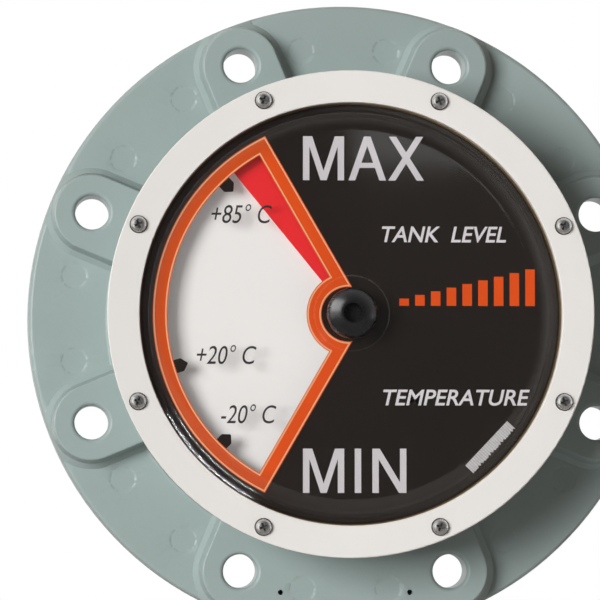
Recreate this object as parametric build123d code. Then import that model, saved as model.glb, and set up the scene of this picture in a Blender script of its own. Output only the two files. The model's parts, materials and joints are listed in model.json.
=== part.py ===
from build123d import *
import math
import os

# Magnetic level gauge for an oil tank.  A float arm clamped to the hub at the rear
# turns the drive shaft and its magnet.  A second magnet follows it through the closed
# floor of the casting and carries the red pointer behind the dial window.
#
# Every piece is modelled about the dial axis: X to the right and Y up as the reader
# sees the dial, Z towards the reader, Z = 0 on the mounting face.  stand_up() then
# turns it so that the dial faces -Y with +Z up.  Millimetres and degrees.

# ---- flange and drum, one casting, sized from the drum outwards and inwards
DRUM_TOP_R = 107.5
DRUM_H = 45.0
DRUM_DRAFT = 0.5
DRUM_ROOT_R = 1.5
BOLT_ROOM = 17.5
FLANGE_EDGE = 20.0
RIM_WIDTH = 11.0
PLATE_T = 11.5
PLATE_DRAFT = 3.0
PLATE_EDGE_R = 2.2
BOLT_COUNT = 8
BOLT_HOLE_R = 7.75
BOLT_HOLE_EDGE_R = 2.0
BOSS_H = 11.0
BOSS_END_R = 17.2
BOSS_DRAFT = 10.0
BOSS_EDGE_R = 1.0
BOSS_FOOT = 2.5
BOSS_INSET = 0.3
PLATEAU_INSET = 1.5
FLOOR_T = 8.0
DIAL_SEAT_WIDTH = 2.5
DIAL_SEAT_DEPTH = 11.0
EJECTOR_MARK_R = 6.8
EJECTOR_MARK_DEPTH = 0.5
EJECTOR_MARK_SLOPE = 1.2
EJECTOR_MARK_SPREAD = 9.0
PLATE_PILOT_HOLE_R = 1.2
PLATE_PILOT_HOLE_DEPTH = 8.0
PLATE_PILOT_SPACING = 59.0

# ---- rear of the casting
PILOT_R = 92.0
PILOT_T = 5.0
RELIEF_DEPTH = 3.8
RELIEF_WALL = 7.0
RIB_COUNT = 8
RIB_T = 6.0
TURRET_R = 32.0
TURRET_LENGTH = 18.0
MAGNET_WALL = 3.0
MAGNET_CHAMBER_R = 21.5

# ---- bezel, cover and gaskets
BEZEL_OVERHANG = 1.5
BEZEL_WIDTH = 14.4
BEZEL_T = 4.0
BEZEL_EDGE_R = 0.5
GASKET_T = 1.0
GASKET_PEEP = 0.5
COVER_FLANGE_T = 2.0
COVER_WALL = 2.0
COVER_CROWN = 5.5
COVER_SHOULDER = 11.9
COVER_CLEARANCE = 0.7
COVER_BOSS_R = 16.5
COVER_BOSS_T = 0.6

# ---- M4 pan head screws, cross recess
SCREW_R = 2.0
SCREW_EDGE = 4.5
SCREW_LENGTH = 12.0
SCREW_HEAD_R = 4.0
SCREW_HEAD_H = 2.6
RECESS_WIDTH = 0.9
RECESS_LENGTH = 4.4
RECESS_DEPTH = 1.5

# ---- black domed plug at the middle of the cover
PLUG_R = 9.8
PLUG_H = 8.4
PLUG_DOME_H = 4.5
PLUG_RIM_R = 11.3
PLUG_RIM_T = 1.4
PLUG_SOCKET_R = 4.3
PLUG_SOCKET_DEPTH = 5.0
PLUG_STEM_R = 4.9
PLUG_NUT_R = 8.0
PLUG_NUT_T = 3.0

# ---- dial
BACK_PLATE_T = 1.5
SPACER_H = 6.5
SPACER_WIDTH = 5.7
DIAL_PLATE_T = 2.25
MASK_T = 0.25
BORDER_T = 0.15
WINDOW_RIM = 16.1
WINDOW_HUB_R = 18.5
WINDOW_HALF_ANGLE = 60.0
WINDOW_SIDE_OFFSET = 1.8
BORDER_WIDTH = 5.4
TAB_ANGLES = (133.8, 196.8, 225.2)
TAB_WIDTH = 6.0
TAB_STRAIGHT = 4.2
TAB_TIP = 2.8
TAB_CORNER_R = 0.7

# ---- pointer and its spindle
POINTER_REST_ANGLE = 120.0
POINTER_TRAVEL = 120.0
POINTER_HALF_WIDTH = 9.2
POINTER_LAP = 5.1
POINTER_T = 0.8
POINTER_GAP = 2.5
POINTER_TAIL_R = 30.0
POINTER_TAIL_WIDTH = 12.0
WEIGHT_R = 8.5
WEIGHT_GAP = 0.7
SPINDLE_R = 2.5
POINTER_HUB_R = 6.0
POINTER_HUB_H = 4.4
FOLLOWER_MAGNET_R = 15.0
FOLLOWER_MAGNET_T = 6.0
CUP_WALL = 1.5
FOLLOWER_NECK_R = 5.0
FOLLOWER_NECK_H = 3.0
MAGNET_GAP = 1.5

# ---- bearing bridge over the follower magnet
POST_R = 5.5
POST_CIRCLE_R = 28.0
POST_COUNT = 3
BRIDGE_T = 3.0
BRIDGE_BOSS_R = 8.0
BRIDGE_BOSS_H = 5.0
BUSH_WALL = 2.0
BUSH_FLANGE_R = 7.0
BUSH_FLANGE_T = 1.3
BRIDGE_SCREW_R = 1.5
BRIDGE_SCREW_LENGTH = 9.0
BRIDGE_SCREW_HEAD_R = 2.8
BRIDGE_SCREW_HEAD_H = 2.2

# ---- drive shaft, its magnet and its bearing housing
DRIVE_SHAFT_R = 5.0
DRIVE_MAGNET_R = 17.5
DRIVE_MAGNET_T = 8.0
DRIVE_NECK_R = 8.0
DRIVE_NECK_H = 3.3
HOUSING_FLANGE_R = 31.0
HOUSING_FLANGE_T = 6.0
HOUSING_SPIGOT_LENGTH = 7.0
HOUSING_NOSE_R = 13.0
HOUSING_NOSE_LENGTH = 22.0
COLLAR_R = 20.0
COLLAR_T = 5.0
DRIVE_BUSH_WALL = 2.5
DRIVE_BUSH_LENGTH = 10.0
DRIVE_BUSH_FLANGE_R = 10.0
DRIVE_BUSH_FLANGE_T = 1.5
HOUSING_SCREW_COUNT = 4
HOUSING_SCREW_R = 2.5
HOUSING_SCREW_CIRCLE_R = 26.5
HOUSING_SCREW_LENGTH = 16.0
HOUSING_SCREW_HEAD_R = 4.25
HOUSING_SCREW_HEAD_H = 5.0
HOUSING_SCREW_SOCKET_R = 2.2

# ---- circlips
CIRCLIP_T = 1.0
CIRCLIP_WIDTH = 2.4
CIRCLIP_GROOVE = 0.5
CIRCLIP_OPENING = 50.0

# ---- float arm hub
HUB_R = 18.0
HUB_T = 16.0
HUB_EDGE = 1.0
HUB_GAP = 2.5
ROD_HOLE_R = 4.0
ROD_HOLE_DEPTH = 10.0
SET_SCREW_R = 2.5
SET_SCREW_SOCKET_R = 1.25
STOP_PIN_R = 2.0
STOP_PIN_CIRCLE_R = 14.5
STOP_PIN_REACH = 3.5
STOP_SLOT_CLEARANCE = 0.4

# ---- fits
RUNNING_FIT = 0.03
LOCATING_FIT = 0.1
THREAD_FIT = 0.05
HOLE_CLEARANCE = 0.3
END_PLAY = 0.2
CUTTER = 1.0

# ---- circles about the dial axis that follow from the drum
BOLT_CIRCLE_R = DRUM_TOP_R + BOLT_ROOM
FLANGE_R = BOLT_CIRCLE_R + FLANGE_EDGE
CHAMBER_R = DRUM_TOP_R - RIM_WIDTH
SCREW_CIRCLE_R = DRUM_TOP_R - SCREW_EDGE
BEZEL_R = DRUM_TOP_R + BEZEL_OVERHANG
BEZEL_INNER_R = BEZEL_R - BEZEL_WIDTH
COVER_SHOULDER_R = BEZEL_INNER_R - COVER_CLEARANCE
COVER_FLAT_R = COVER_SHOULDER_R - COVER_SHOULDER
DIAL_SEAT_R = CHAMBER_R + DIAL_SEAT_WIDTH
DIAL_R = DIAL_SEAT_R - HOLE_CLEARANCE
WINDOW_R = DIAL_SEAT_R - WINDOW_RIM
POINTER_R = WINDOW_R + POINTER_LAP

# ---- levels above the mounting face, from the casting outwards
BOSS_TOP = PLATE_T + BOSS_H
DRUM_TOP = PLATE_T + DRUM_H
DIAL_SEAT = DRUM_TOP - DIAL_SEAT_DEPTH
COVER_SEAT = DRUM_TOP + GASKET_T
COVER_FLANGE_TOP = COVER_SEAT + COVER_FLANGE_T
BEZEL_SEAT = COVER_FLANGE_TOP + GASKET_T
BEZEL_TOP = BEZEL_SEAT + BEZEL_T
COVER_TOP = COVER_FLANGE_TOP + COVER_CROWN
PLUG_SEAT = COVER_TOP + COVER_BOSS_T
SPACER_SEAT = DIAL_SEAT + BACK_PLATE_T
DIAL_PLATE_SEAT = SPACER_SEAT + SPACER_H
MASK_SEAT = DIAL_PLATE_SEAT + DIAL_PLATE_T
BORDER_SEAT = MASK_SEAT + MASK_T
FOLLOWER_FACE = FLOOR_T + MAGNET_GAP
FOLLOWER_CUP_TOP = FOLLOWER_FACE + FOLLOWER_MAGNET_T + CUP_WALL
BUSH_SEAT = FOLLOWER_CUP_TOP + FOLLOWER_NECK_H + END_PLAY
BRIDGE_SEAT = BUSH_SEAT + BUSH_FLANGE_T
BRIDGE_BOSS_TOP = BRIDGE_SEAT + BRIDGE_T + BRIDGE_BOSS_H
POINTER_SEAT = SPACER_SEAT + POINTER_GAP
POINTER_HUB_BASE = POINTER_SEAT - POINTER_HUB_H / 2
WEIGHT_TOP = DIAL_PLATE_SEAT - WEIGHT_GAP

# ---- levels behind the mounting face
MAGNET_CHAMBER_TOP = FLOOR_T - MAGNET_WALL
DRIVE_FACE = MAGNET_CHAMBER_TOP - MAGNET_GAP
DRIVE_CUP_BACK = DRIVE_FACE - DRIVE_MAGNET_T - CUP_WALL
DRIVE_BUSH_TOP = DRIVE_CUP_BACK - DRIVE_NECK_H - END_PLAY
HOUSING_SPIGOT_TOP = DRIVE_BUSH_TOP - DRIVE_BUSH_FLANGE_T
HOUSING_SEAT = HOUSING_SPIGOT_TOP - HOUSING_SPIGOT_LENGTH
TURRET_END = HOUSING_SEAT + GASKET_T
HOUSING_BACK = HOUSING_SEAT - HOUSING_FLANGE_T
HOUSING_END = HOUSING_BACK - HOUSING_NOSE_LENGTH
REAR_CIRCLIP_TOP = HOUSING_END - DRIVE_BUSH_FLANGE_T - END_PLAY
HUB_TOP = REAR_CIRCLIP_TOP - CIRCLIP_T - HUB_GAP
HUB_BACK = HUB_TOP - HUB_T
HUB_MIDDLE = (HUB_TOP + HUB_BACK) / 2


def turned(points):
    """Solid of revolution about the dial axis from (radius, height) points."""
    outline = Polyline([(r, 0, h) for r, h in points], close=True)
    return revolve(make_face(outline), Axis.Z)


def disc(radius, low, high):
    return Pos(0, 0, low) * extrude(Circle(radius), high - low)


def ring(outer, inner, low, high):
    return Pos(0, 0, low) * extrude(Circle(outer) - Circle(inner), high - low)


def hole(radius, low, high):
    """Cutter that runs past both faces."""
    return disc(radius, low - CUTTER, high + CUTTER)


def around(shape, count, first_angle=0.0):
    """Copies of a shape turned evenly about the dial axis."""
    return [Rot(0, 0, first_angle + 360.0 * i / count) * shape for i in range(count)]


def at_polar(radius, angle, height=0.0):
    return Rot(0, 0, angle) * Pos(radius, 0, height)


def top_rim(solid):
    return solid.faces().sort_by(Axis.Z)[-1].outer_wire().edges()


# ---------------------------------------------------------------- casting

def boss_outline(radius):
    """Tongue round a bolt hole, open towards the drum, its top face."""
    tongue = Rectangle(BOLT_CIRCLE_R - CHAMBER_R, 2 * radius, align=(Align.MAX, Align.CENTER))
    return Pos(BOLT_CIRCLE_R, 0) * (Circle(radius) + tongue)


def plate_rim_r(height):
    """Radius of the plate's drafted rim."""
    return FLANGE_R - height * math.tan(math.radians(PLATE_DRAFT))


def drafted_pad(outline):
    """Pad on the plate with drafted flanks, a rounded top edge and a splayed foot."""
    depth = BOSS_H + PLATE_EDGE_R
    pad = fillet(top_rim(extrude(outline, -depth, taper=-BOSS_DRAFT)), BOSS_EDGE_R)
    foot_start = (BOSS_H - BOSS_FOOT) * (1.0 - math.tan(math.radians(BOSS_DRAFT)))
    foot = Pos(0, 0, -foot_start) * extrude(outline, foot_start - depth, taper=-45.0)
    low = PLATE_T - PLATE_EDGE_R
    inside_rim = turned([
        (0, low), (plate_rim_r(low) - BOSS_INSET, low),
        (plate_rim_r(BOSS_TOP) - BOSS_INSET, BOSS_TOP), (0, BOSS_TOP)])
    return Pos(0, 0, BOSS_TOP) * (pad + foot) & inside_rim


def bottom_plateau_outline():
    """The gap between the two lowest bosses is filled for a rating plate."""
    reach = BOLT_CIRCLE_R + BOSS_END_R - PLATEAU_INSET
    half_width = reach * math.tan(math.radians(180.0 / BOLT_COUNT))
    sector = make_face(Polyline([
        (0, 0), (-half_width, -reach), (half_width, -reach)], close=True))
    return (sector & Circle(reach)) - Circle(CHAMBER_R)


def casting_core():
    """Plate, drum, dial chamber, pilot and bearing turret as one turned shape."""
    drum_base_r = DRUM_TOP_R + DRUM_H * math.tan(math.radians(DRUM_DRAFT))
    core = turned([
        (0, TURRET_END), (TURRET_R, TURRET_END), (TURRET_R, -PILOT_T),
        (PILOT_R, -PILOT_T), (PILOT_R, 0), (FLANGE_R, 0), (plate_rim_r(PLATE_T), PLATE_T),
        (drum_base_r, PLATE_T), (DRUM_TOP_R, DRUM_TOP), (DIAL_SEAT_R, DRUM_TOP),
        (DIAL_SEAT_R, DIAL_SEAT), (CHAMBER_R, DIAL_SEAT), (CHAMBER_R, FLOOR_T),
        (0, FLOOR_T)])
    circles = core.edges().filter_by(GeomType.CIRCLE)
    root = [e for e in circles if abs(e.radius - drum_base_r) < 0.01]
    core = fillet(root, DRUM_ROOT_R)
    circles = core.edges().filter_by(GeomType.CIRCLE)
    rim = [e for e in circles if abs(e.radius - plate_rim_r(PLATE_T)) < 0.01
           and abs(e.center().Z - PLATE_T) < 0.01]
    return fillet(rim, PLATE_EDGE_R)


def rear_relief():
    """Shallow lightening pockets behind the drum, parted by radial ribs."""
    outer = PILOT_R - RELIEF_WALL
    inner = TURRET_R + RELIEF_WALL
    pocket = ring(outer, inner, -PILOT_T - CUTTER, RELIEF_DEPTH - PILOT_T)
    rib = Box(2 * outer, RIB_T, 2 * PILOT_T)
    for angle in range(RIB_COUNT // 2):
        pocket -= Rot(0, 0, 360.0 / RIB_COUNT * angle) * rib
    return pocket


def ejector_mark():
    """Shallow round mark with a sloping wall, cut into a surface at height zero."""
    floor_r = EJECTOR_MARK_R - EJECTOR_MARK_SLOPE
    steepness = EJECTOR_MARK_SLOPE / EJECTOR_MARK_DEPTH
    return turned([
        (0, -EJECTOR_MARK_DEPTH), (floor_r, -EJECTOR_MARK_DEPTH),
        (EJECTOR_MARK_R + CUTTER * steepness, CUTTER), (0, CUTTER)])


def flange_body():
    first = 180.0 / BOLT_COUNT
    body = casting_core()
    pads = around(drafted_pad(boss_outline(BOSS_END_R)), BOLT_COUNT, first)
    pads.append(drafted_pad(bottom_plateau_outline()))
    chamber = hole(CHAMBER_R + CUTTER, FLOOR_T, DIAL_SEAT)
    for pad in pads:
        body += pad - chamber

    post = disc(POST_R, FLOOR_T - CUTTER, BRIDGE_SEAT)
    post_hole = disc(BRIDGE_SCREW_R + THREAD_FIT, BRIDGE_SEAT - BRIDGE_SCREW_LENGTH,
                     BRIDGE_SEAT + CUTTER)
    for angle in range(POST_COUNT):
        place = at_polar(POST_CIRCLE_R, 360.0 / POST_COUNT * angle - 90.0)
        body = body + place * post - place * post_hole

    bolt_hole = Pos(BOLT_CIRCLE_R, 0, 0) * hole(BOLT_HOLE_R, 0, BOSS_TOP)
    for cutter in around(bolt_hole, BOLT_COUNT, first):
        body -= cutter
    mouths = [e for e in body.edges().filter_by(GeomType.CIRCLE)
              if abs(e.radius - BOLT_HOLE_R) < 0.01 and abs(e.center().Z - BOSS_TOP) < 0.01]
    body = fillet(mouths, BOLT_HOLE_EDGE_R)

    screw_hole = disc(SCREW_R + THREAD_FIT, BEZEL_TOP - SCREW_LENGTH - 2 * CUTTER,
                      DRUM_TOP + CUTTER)
    for cutter in around(Pos(SCREW_CIRCLE_R, 0, 0) * screw_hole, BOLT_COUNT, first):
        body -= cutter

    for gap in range(BOLT_COUNT):
        middle = 360.0 / BOLT_COUNT * gap
        surface = BOSS_TOP if abs(middle - 270.0) < first else PLATE_T
        for side in (-1, 1):
            body -= at_polar(BOLT_CIRCLE_R, middle + side * EJECTOR_MARK_SPREAD,
                             surface) * ejector_mark()

    pilot_hole = disc(PLATE_PILOT_HOLE_R, BOSS_TOP - PLATE_PILOT_HOLE_DEPTH, BOSS_TOP + CUTTER)
    for side in (-1, 1):
        body -= Pos(side * PLATE_PILOT_SPACING / 2, -BOLT_CIRCLE_R, 0) * pilot_hole

    body -= disc(MAGNET_CHAMBER_R, TURRET_END - CUTTER, MAGNET_CHAMBER_TOP)
    housing_hole = disc(HOUSING_SCREW_R + THREAD_FIT, TURRET_END - CUTTER,
                        HOUSING_BACK + HOUSING_SCREW_LENGTH + CUTTER)
    for cutter in around(Pos(HOUSING_SCREW_CIRCLE_R, 0, 0) * housing_hole,
                         HOUSING_SCREW_COUNT, 180.0 / HOUSING_SCREW_COUNT):
        body -= cutter
    return body - rear_relief()


# ---------------------------------------------------------------- bezel and cover

def screw_holes(low, high):
    cutter = Pos(SCREW_CIRCLE_R, 0, 0) * hole(SCREW_R + HOLE_CLEARANCE, low, high)
    return around(cutter, BOLT_COUNT, 180.0 / BOLT_COUNT)


def drilled(solid, low, high):
    for cutter in screw_holes(low, high):
        solid -= cutter
    return solid


def bezel_ring():
    bezel = ring(BEZEL_R, BEZEL_INNER_R, BEZEL_SEAT, BEZEL_TOP)
    front = [e for e in bezel.edges().filter_by(GeomType.CIRCLE)
             if abs(e.center().Z - BEZEL_TOP) < 0.01]
    bezel = fillet(front, BEZEL_EDGE_R)
    return drilled(bezel, BEZEL_SEAT, BEZEL_TOP)


def gasket(low):
    inner = BEZEL_INNER_R - GASKET_PEEP
    return drilled(ring(DRUM_TOP_R, inner, low, low + GASKET_T), low, low + GASKET_T)


def clear_cover():
    """Moulded cover: clamped flange, rounded shoulder, flat crown, boss for the plug."""
    inside_r = COVER_SHOULDER_R - COVER_WALL
    inside_top = COVER_TOP - COVER_WALL
    bore = PLUG_STEM_R + LOCATING_FIT
    outside = [
        Line((bore, 0, PLUG_SEAT), (COVER_BOSS_R, 0, PLUG_SEAT)),
        Line((COVER_BOSS_R, 0, PLUG_SEAT), (COVER_BOSS_R + COVER_BOSS_T, 0, COVER_TOP)),
        Line((COVER_BOSS_R + COVER_BOSS_T, 0, COVER_TOP), (COVER_FLAT_R, 0, COVER_TOP)),
        TangentArc((COVER_FLAT_R, 0, COVER_TOP), (COVER_SHOULDER_R, 0, COVER_FLANGE_TOP),
                   tangent=(1, 0, 0)),
        Line((COVER_SHOULDER_R, 0, COVER_FLANGE_TOP), (DRUM_TOP_R, 0, COVER_FLANGE_TOP)),
        Line((DRUM_TOP_R, 0, COVER_FLANGE_TOP), (DRUM_TOP_R, 0, COVER_SEAT))]
    inside = [
        Line((DRUM_TOP_R, 0, COVER_SEAT), (inside_r, 0, COVER_SEAT)),
        TangentArc((COVER_FLAT_R, 0, inside_top), (inside_r, 0, COVER_SEAT), tangent=(1, 0, 0)),
        Line((COVER_FLAT_R, 0, inside_top), (bore, 0, inside_top)),
        Line((bore, 0, inside_top), (bore, 0, PLUG_SEAT))]
    cover = revolve(make_face(outside + inside), Axis.Z)
    return drilled(cover, COVER_SEAT, COVER_FLANGE_TOP)


def pan_screw():
    """Pan head screw standing on height zero, shank downwards."""
    crown = SCREW_HEAD_R * 0.55
    shoulder = SCREW_HEAD_H * 0.45
    head = revolve(make_face([
        Line((0, 0, 0), (SCREW_HEAD_R, 0, 0)),
        Line((SCREW_HEAD_R, 0, 0), (SCREW_HEAD_R, 0, shoulder)),
        ThreePointArc((SCREW_HEAD_R, 0, shoulder),
                      (SCREW_HEAD_R * 0.88, 0, SCREW_HEAD_H * 0.84), (crown, 0, SCREW_HEAD_H)),
        Line((crown, 0, SCREW_HEAD_H), (0, 0, SCREW_HEAD_H)),
        Line((0, 0, SCREW_HEAD_H), (0, 0, 0))]), Axis.Z)
    slot = Pos(0, 0, SCREW_HEAD_H) * Box(RECESS_LENGTH, RECESS_WIDTH, 2 * RECESS_DEPTH)
    cross = Rot(0, 0, 45) * (slot + Rot(0, 0, 90) * slot)
    return disc(SCREW_R, -SCREW_LENGTH, 0) + head - cross


def bezel_screws():
    screw = Pos(SCREW_CIRCLE_R, 0, BEZEL_TOP) * pan_screw()
    return around(screw, BOLT_COUNT, 180.0 / BOLT_COUNT)


def cover_plug():
    """Black domed plug with a deep round socket, its stem through the cover."""
    rim_top = PLUG_SEAT + PLUG_RIM_T
    top = PLUG_SEAT + PLUG_H
    dome_foot = top - PLUG_DOME_H
    stem_end = COVER_TOP - COVER_WALL - PLUG_NUT_T - END_PLAY
    lip = PLUG_SOCKET_R + 0.6
    mid_r = lip + (PLUG_R - lip) * math.sin(math.radians(45))
    mid_h = dome_foot + PLUG_DOME_H * math.cos(math.radians(45))
    outline = [
        Line((0, 0, stem_end), (PLUG_STEM_R, 0, stem_end)),
        Line((PLUG_STEM_R, 0, stem_end), (PLUG_STEM_R, 0, PLUG_SEAT)),
        Line((PLUG_STEM_R, 0, PLUG_SEAT), (PLUG_RIM_R, 0, PLUG_SEAT)),
        Line((PLUG_RIM_R, 0, PLUG_SEAT), (PLUG_R, 0, rim_top)),
        Line((PLUG_R, 0, rim_top), (PLUG_R, 0, dome_foot)),
        ThreePointArc((PLUG_R, 0, dome_foot), (mid_r, 0, mid_h), (lip, 0, top)),
        Line((lip, 0, top), (PLUG_SOCKET_R, 0, top)),
        Line((PLUG_SOCKET_R, 0, top), (PLUG_SOCKET_R, 0, top - PLUG_SOCKET_DEPTH)),
        Line((PLUG_SOCKET_R, 0, top - PLUG_SOCKET_DEPTH), (0, 0, top - PLUG_SOCKET_DEPTH)),
        Line((0, 0, top - PLUG_SOCKET_DEPTH), (0, 0, stem_end))]
    return revolve(make_face(outline), Axis.Z)


def plug_nut():
    low = COVER_TOP - COVER_WALL - PLUG_NUT_T
    nut = extrude(RegularPolygon(PLUG_NUT_R, 6) - Circle(PLUG_STEM_R + THREAD_FIT), PLUG_NUT_T)
    return Pos(0, 0, low) * nut


# ---------------------------------------------------------------- dial

def window_outline(margin):
    """Window of the dial, grown evenly by a margin: two arcs and two slanted sides."""
    side = WINDOW_SIDE_OFFSET + margin
    half = math.radians(WINDOW_HALF_ANGLE)
    apex = side / math.sin(half)
    far = 2 * FLANGE_R
    wedge = make_face(Polyline([
        (apex, 0),
        (apex - far * math.cos(half), far * math.sin(half)),
        (apex - far * math.cos(half), -far * math.sin(half))], close=True))
    return (wedge & Circle(WINDOW_R + margin)) - Circle(WINDOW_HUB_R - margin)


def mark_tab():
    """House shaped tab whose tip marks a level on the window's edge."""
    root = WINDOW_R + CUTTER
    eaves = WINDOW_R - TAB_STRAIGHT
    half = TAB_WIDTH / 2
    tab = make_face(Polyline([
        (root, -half), (root, half), (eaves, half),
        (eaves - TAB_TIP, 0), (eaves, -half)], close=True))
    corners = tab.vertices().sort_by(Axis.X)[:3]
    return fillet(corners, TAB_CORNER_R)


def dial_mask():
    face = Circle(DIAL_R) - window_outline(0)
    for angle in TAB_ANGLES:
        face += Rot(0, 0, angle) * mark_tab()
    return Pos(0, 0, MASK_SEAT) * extrude(face, MASK_T)


def window_border():
    face = window_outline(BORDER_WIDTH) - window_outline(0)
    return Pos(0, 0, BORDER_SEAT) * extrude(face, BORDER_T)


def dial_plate():
    return disc(DIAL_R, DIAL_PLATE_SEAT, MASK_SEAT)


def dial_spacer():
    return ring(DIAL_R, DIAL_R - SPACER_WIDTH, SPACER_SEAT, DIAL_PLATE_SEAT)


def back_plate():
    return ring(DIAL_R, POINTER_HUB_R + HOLE_CLEARANCE, DIAL_SEAT, SPACER_SEAT)


# ---------------------------------------------------------------- pointer

def pointer_vane():
    """Red sector with a tail that carries the counterweight."""
    half = math.radians(POINTER_HALF_WIDTH)
    far = 2 * POINTER_R
    sector = make_face(Polyline([
        (0, 0), (far * math.cos(half), far * math.sin(half)),
        (far * math.cos(half), -far * math.sin(half))], close=True)) & Circle(POINTER_R)
    tail = Rectangle(POINTER_TAIL_R, POINTER_TAIL_WIDTH, align=(Align.MAX, Align.CENTER))
    outline = sector + tail + Pos(-POINTER_TAIL_R, 0) * Circle(WEIGHT_R) + Circle(POINTER_HUB_R + 1)
    outline -= Circle(POINTER_HUB_R - CUTTER)
    vane = Pos(0, 0, POINTER_SEAT) * extrude(outline, POINTER_T)
    return Rot(0, 0, POINTER_REST_ANGLE) * vane


def pointer_weight():
    low = POINTER_SEAT + POINTER_T
    weight = Pos(-POINTER_TAIL_R, 0, 0) * disc(WEIGHT_R, low, WEIGHT_TOP)
    return Rot(0, 0, POINTER_REST_ANGLE) * weight


def pointer_hub():
    """Brass hub staked through the vane and pushed on the spindle."""
    bore = SPINDLE_R + RUNNING_FIT
    neck = POINTER_HUB_R - CUTTER
    return turned([
        (bore, POINTER_HUB_BASE), (POINTER_HUB_R, POINTER_HUB_BASE),
        (POINTER_HUB_R, POINTER_SEAT), (neck, POINTER_SEAT),
        (neck, POINTER_SEAT + POINTER_HUB_H / 2), (bore, POINTER_SEAT + POINTER_HUB_H / 2)])


def pointer_spindle():
    low = FOLLOWER_CUP_TOP - CUP_WALL
    spindle = disc(SPINDLE_R, low, POINTER_SEAT + POINTER_HUB_H / 2)
    groove_low = BRIDGE_BOSS_TOP + END_PLAY
    return spindle - ring(SPINDLE_R + CUTTER, SPINDLE_R - CIRCLIP_GROOVE, groove_low,
                          groove_low + CIRCLIP_T)


def circlip(shaft_r, low):
    inner = shaft_r - CIRCLIP_GROOVE
    outer = inner + CIRCLIP_WIDTH
    half = math.radians(CIRCLIP_OPENING / 2)
    far = 2 * outer
    mouth = make_face(Polyline([
        (0, 0), (far * math.cos(half), far * math.sin(half)),
        (far * math.cos(half), -far * math.sin(half))], close=True))
    return Pos(0, 0, low) * extrude(Circle(outer) - Circle(inner) - mouth, CIRCLIP_T)


def pointer_circlip():
    return circlip(SPINDLE_R, BRIDGE_BOSS_TOP + END_PLAY)


def follower_cup():
    """Brass cup and neck that hold the follower magnet on the spindle."""
    bore = SPINDLE_R + RUNNING_FIT
    inner = FOLLOWER_MAGNET_R + LOCATING_FIT
    outer = inner + CUP_WALL
    under = FOLLOWER_CUP_TOP - CUP_WALL
    neck_top = FOLLOWER_CUP_TOP + FOLLOWER_NECK_H
    return turned([
        (bore, under), (inner, under), (inner, FOLLOWER_FACE), (outer, FOLLOWER_FACE),
        (outer, FOLLOWER_CUP_TOP), (FOLLOWER_NECK_R, FOLLOWER_CUP_TOP),
        (FOLLOWER_NECK_R, neck_top), (bore, neck_top)])


def follower_magnet():
    return disc(FOLLOWER_MAGNET_R, FOLLOWER_FACE, FOLLOWER_FACE + FOLLOWER_MAGNET_T)


def pointer_bush():
    bore = SPINDLE_R + RUNNING_FIT
    outer = SPINDLE_R + BUSH_WALL
    return turned([
        (bore, BUSH_SEAT), (BUSH_FLANGE_R, BUSH_SEAT), (BUSH_FLANGE_R, BRIDGE_SEAT),
        (outer, BRIDGE_SEAT), (outer, BRIDGE_BOSS_TOP), (bore, BRIDGE_BOSS_TOP)])


def bearing_bridge():
    """Three armed bridge on the posts of the casting."""
    arm = Rectangle(POST_CIRCLE_R, 2 * POST_R, align=(Align.MIN, Align.CENTER))
    lobe = arm + Pos(POST_CIRCLE_R, 0) * Circle(POST_R)
    web = Circle(BRIDGE_BOSS_R + POST_R)
    for turn in around(lobe, POST_COUNT, -90.0):
        web += turn
    bridge = Pos(0, 0, BRIDGE_SEAT) * extrude(web, BRIDGE_T)
    bridge += disc(BRIDGE_BOSS_R, BRIDGE_SEAT, BRIDGE_BOSS_TOP)
    bridge -= hole(SPINDLE_R + BUSH_WALL, BRIDGE_SEAT, BRIDGE_BOSS_TOP)
    cutter = hole(BRIDGE_SCREW_R + LOCATING_FIT, BRIDGE_SEAT, BRIDGE_SEAT + BRIDGE_T)
    for place in around(Pos(POST_CIRCLE_R, 0, 0) * cutter, POST_COUNT, -90.0):
        bridge -= place
    return bridge


def bridge_screws():
    seat = BRIDGE_SEAT + BRIDGE_T
    screw = disc(BRIDGE_SCREW_R, seat - BRIDGE_SCREW_LENGTH, seat)
    screw += disc(BRIDGE_SCREW_HEAD_R, seat, seat + BRIDGE_SCREW_HEAD_H)
    screw -= Pos(0, 0, seat + BRIDGE_SCREW_HEAD_H) * Box(2 * BRIDGE_SCREW_HEAD_R + CUTTER, 0.8, 2)
    return around(Pos(POST_CIRCLE_R, 0, 0) * screw, POST_COUNT, -90.0)


# ---------------------------------------------------------------- drive

def drive_magnet():
    bore = DRIVE_SHAFT_R + RUNNING_FIT
    return ring(DRIVE_MAGNET_R, bore, DRIVE_FACE - DRIVE_MAGNET_T, DRIVE_FACE)


def drive_cup():
    bore = DRIVE_SHAFT_R + RUNNING_FIT
    inner = DRIVE_MAGNET_R + LOCATING_FIT
    outer = inner + CUP_WALL
    under = DRIVE_CUP_BACK + CUP_WALL
    neck_end = DRIVE_CUP_BACK - DRIVE_NECK_H
    return turned([
        (bore, under), (inner, under), (inner, DRIVE_FACE), (outer, DRIVE_FACE),
        (outer, DRIVE_CUP_BACK), (DRIVE_NECK_R, DRIVE_CUP_BACK),
        (DRIVE_NECK_R, neck_end), (bore, neck_end)])


def drive_shaft():
    shaft = disc(DRIVE_SHAFT_R, HUB_BACK, DRIVE_FACE)
    groove_low = REAR_CIRCLIP_TOP - CIRCLIP_T
    return shaft - ring(DRIVE_SHAFT_R + CUTTER, DRIVE_SHAFT_R - CIRCLIP_GROOVE,
                        groove_low, REAR_CIRCLIP_TOP)


def drive_circlip():
    return circlip(DRIVE_SHAFT_R, REAR_CIRCLIP_TOP - CIRCLIP_T)


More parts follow.
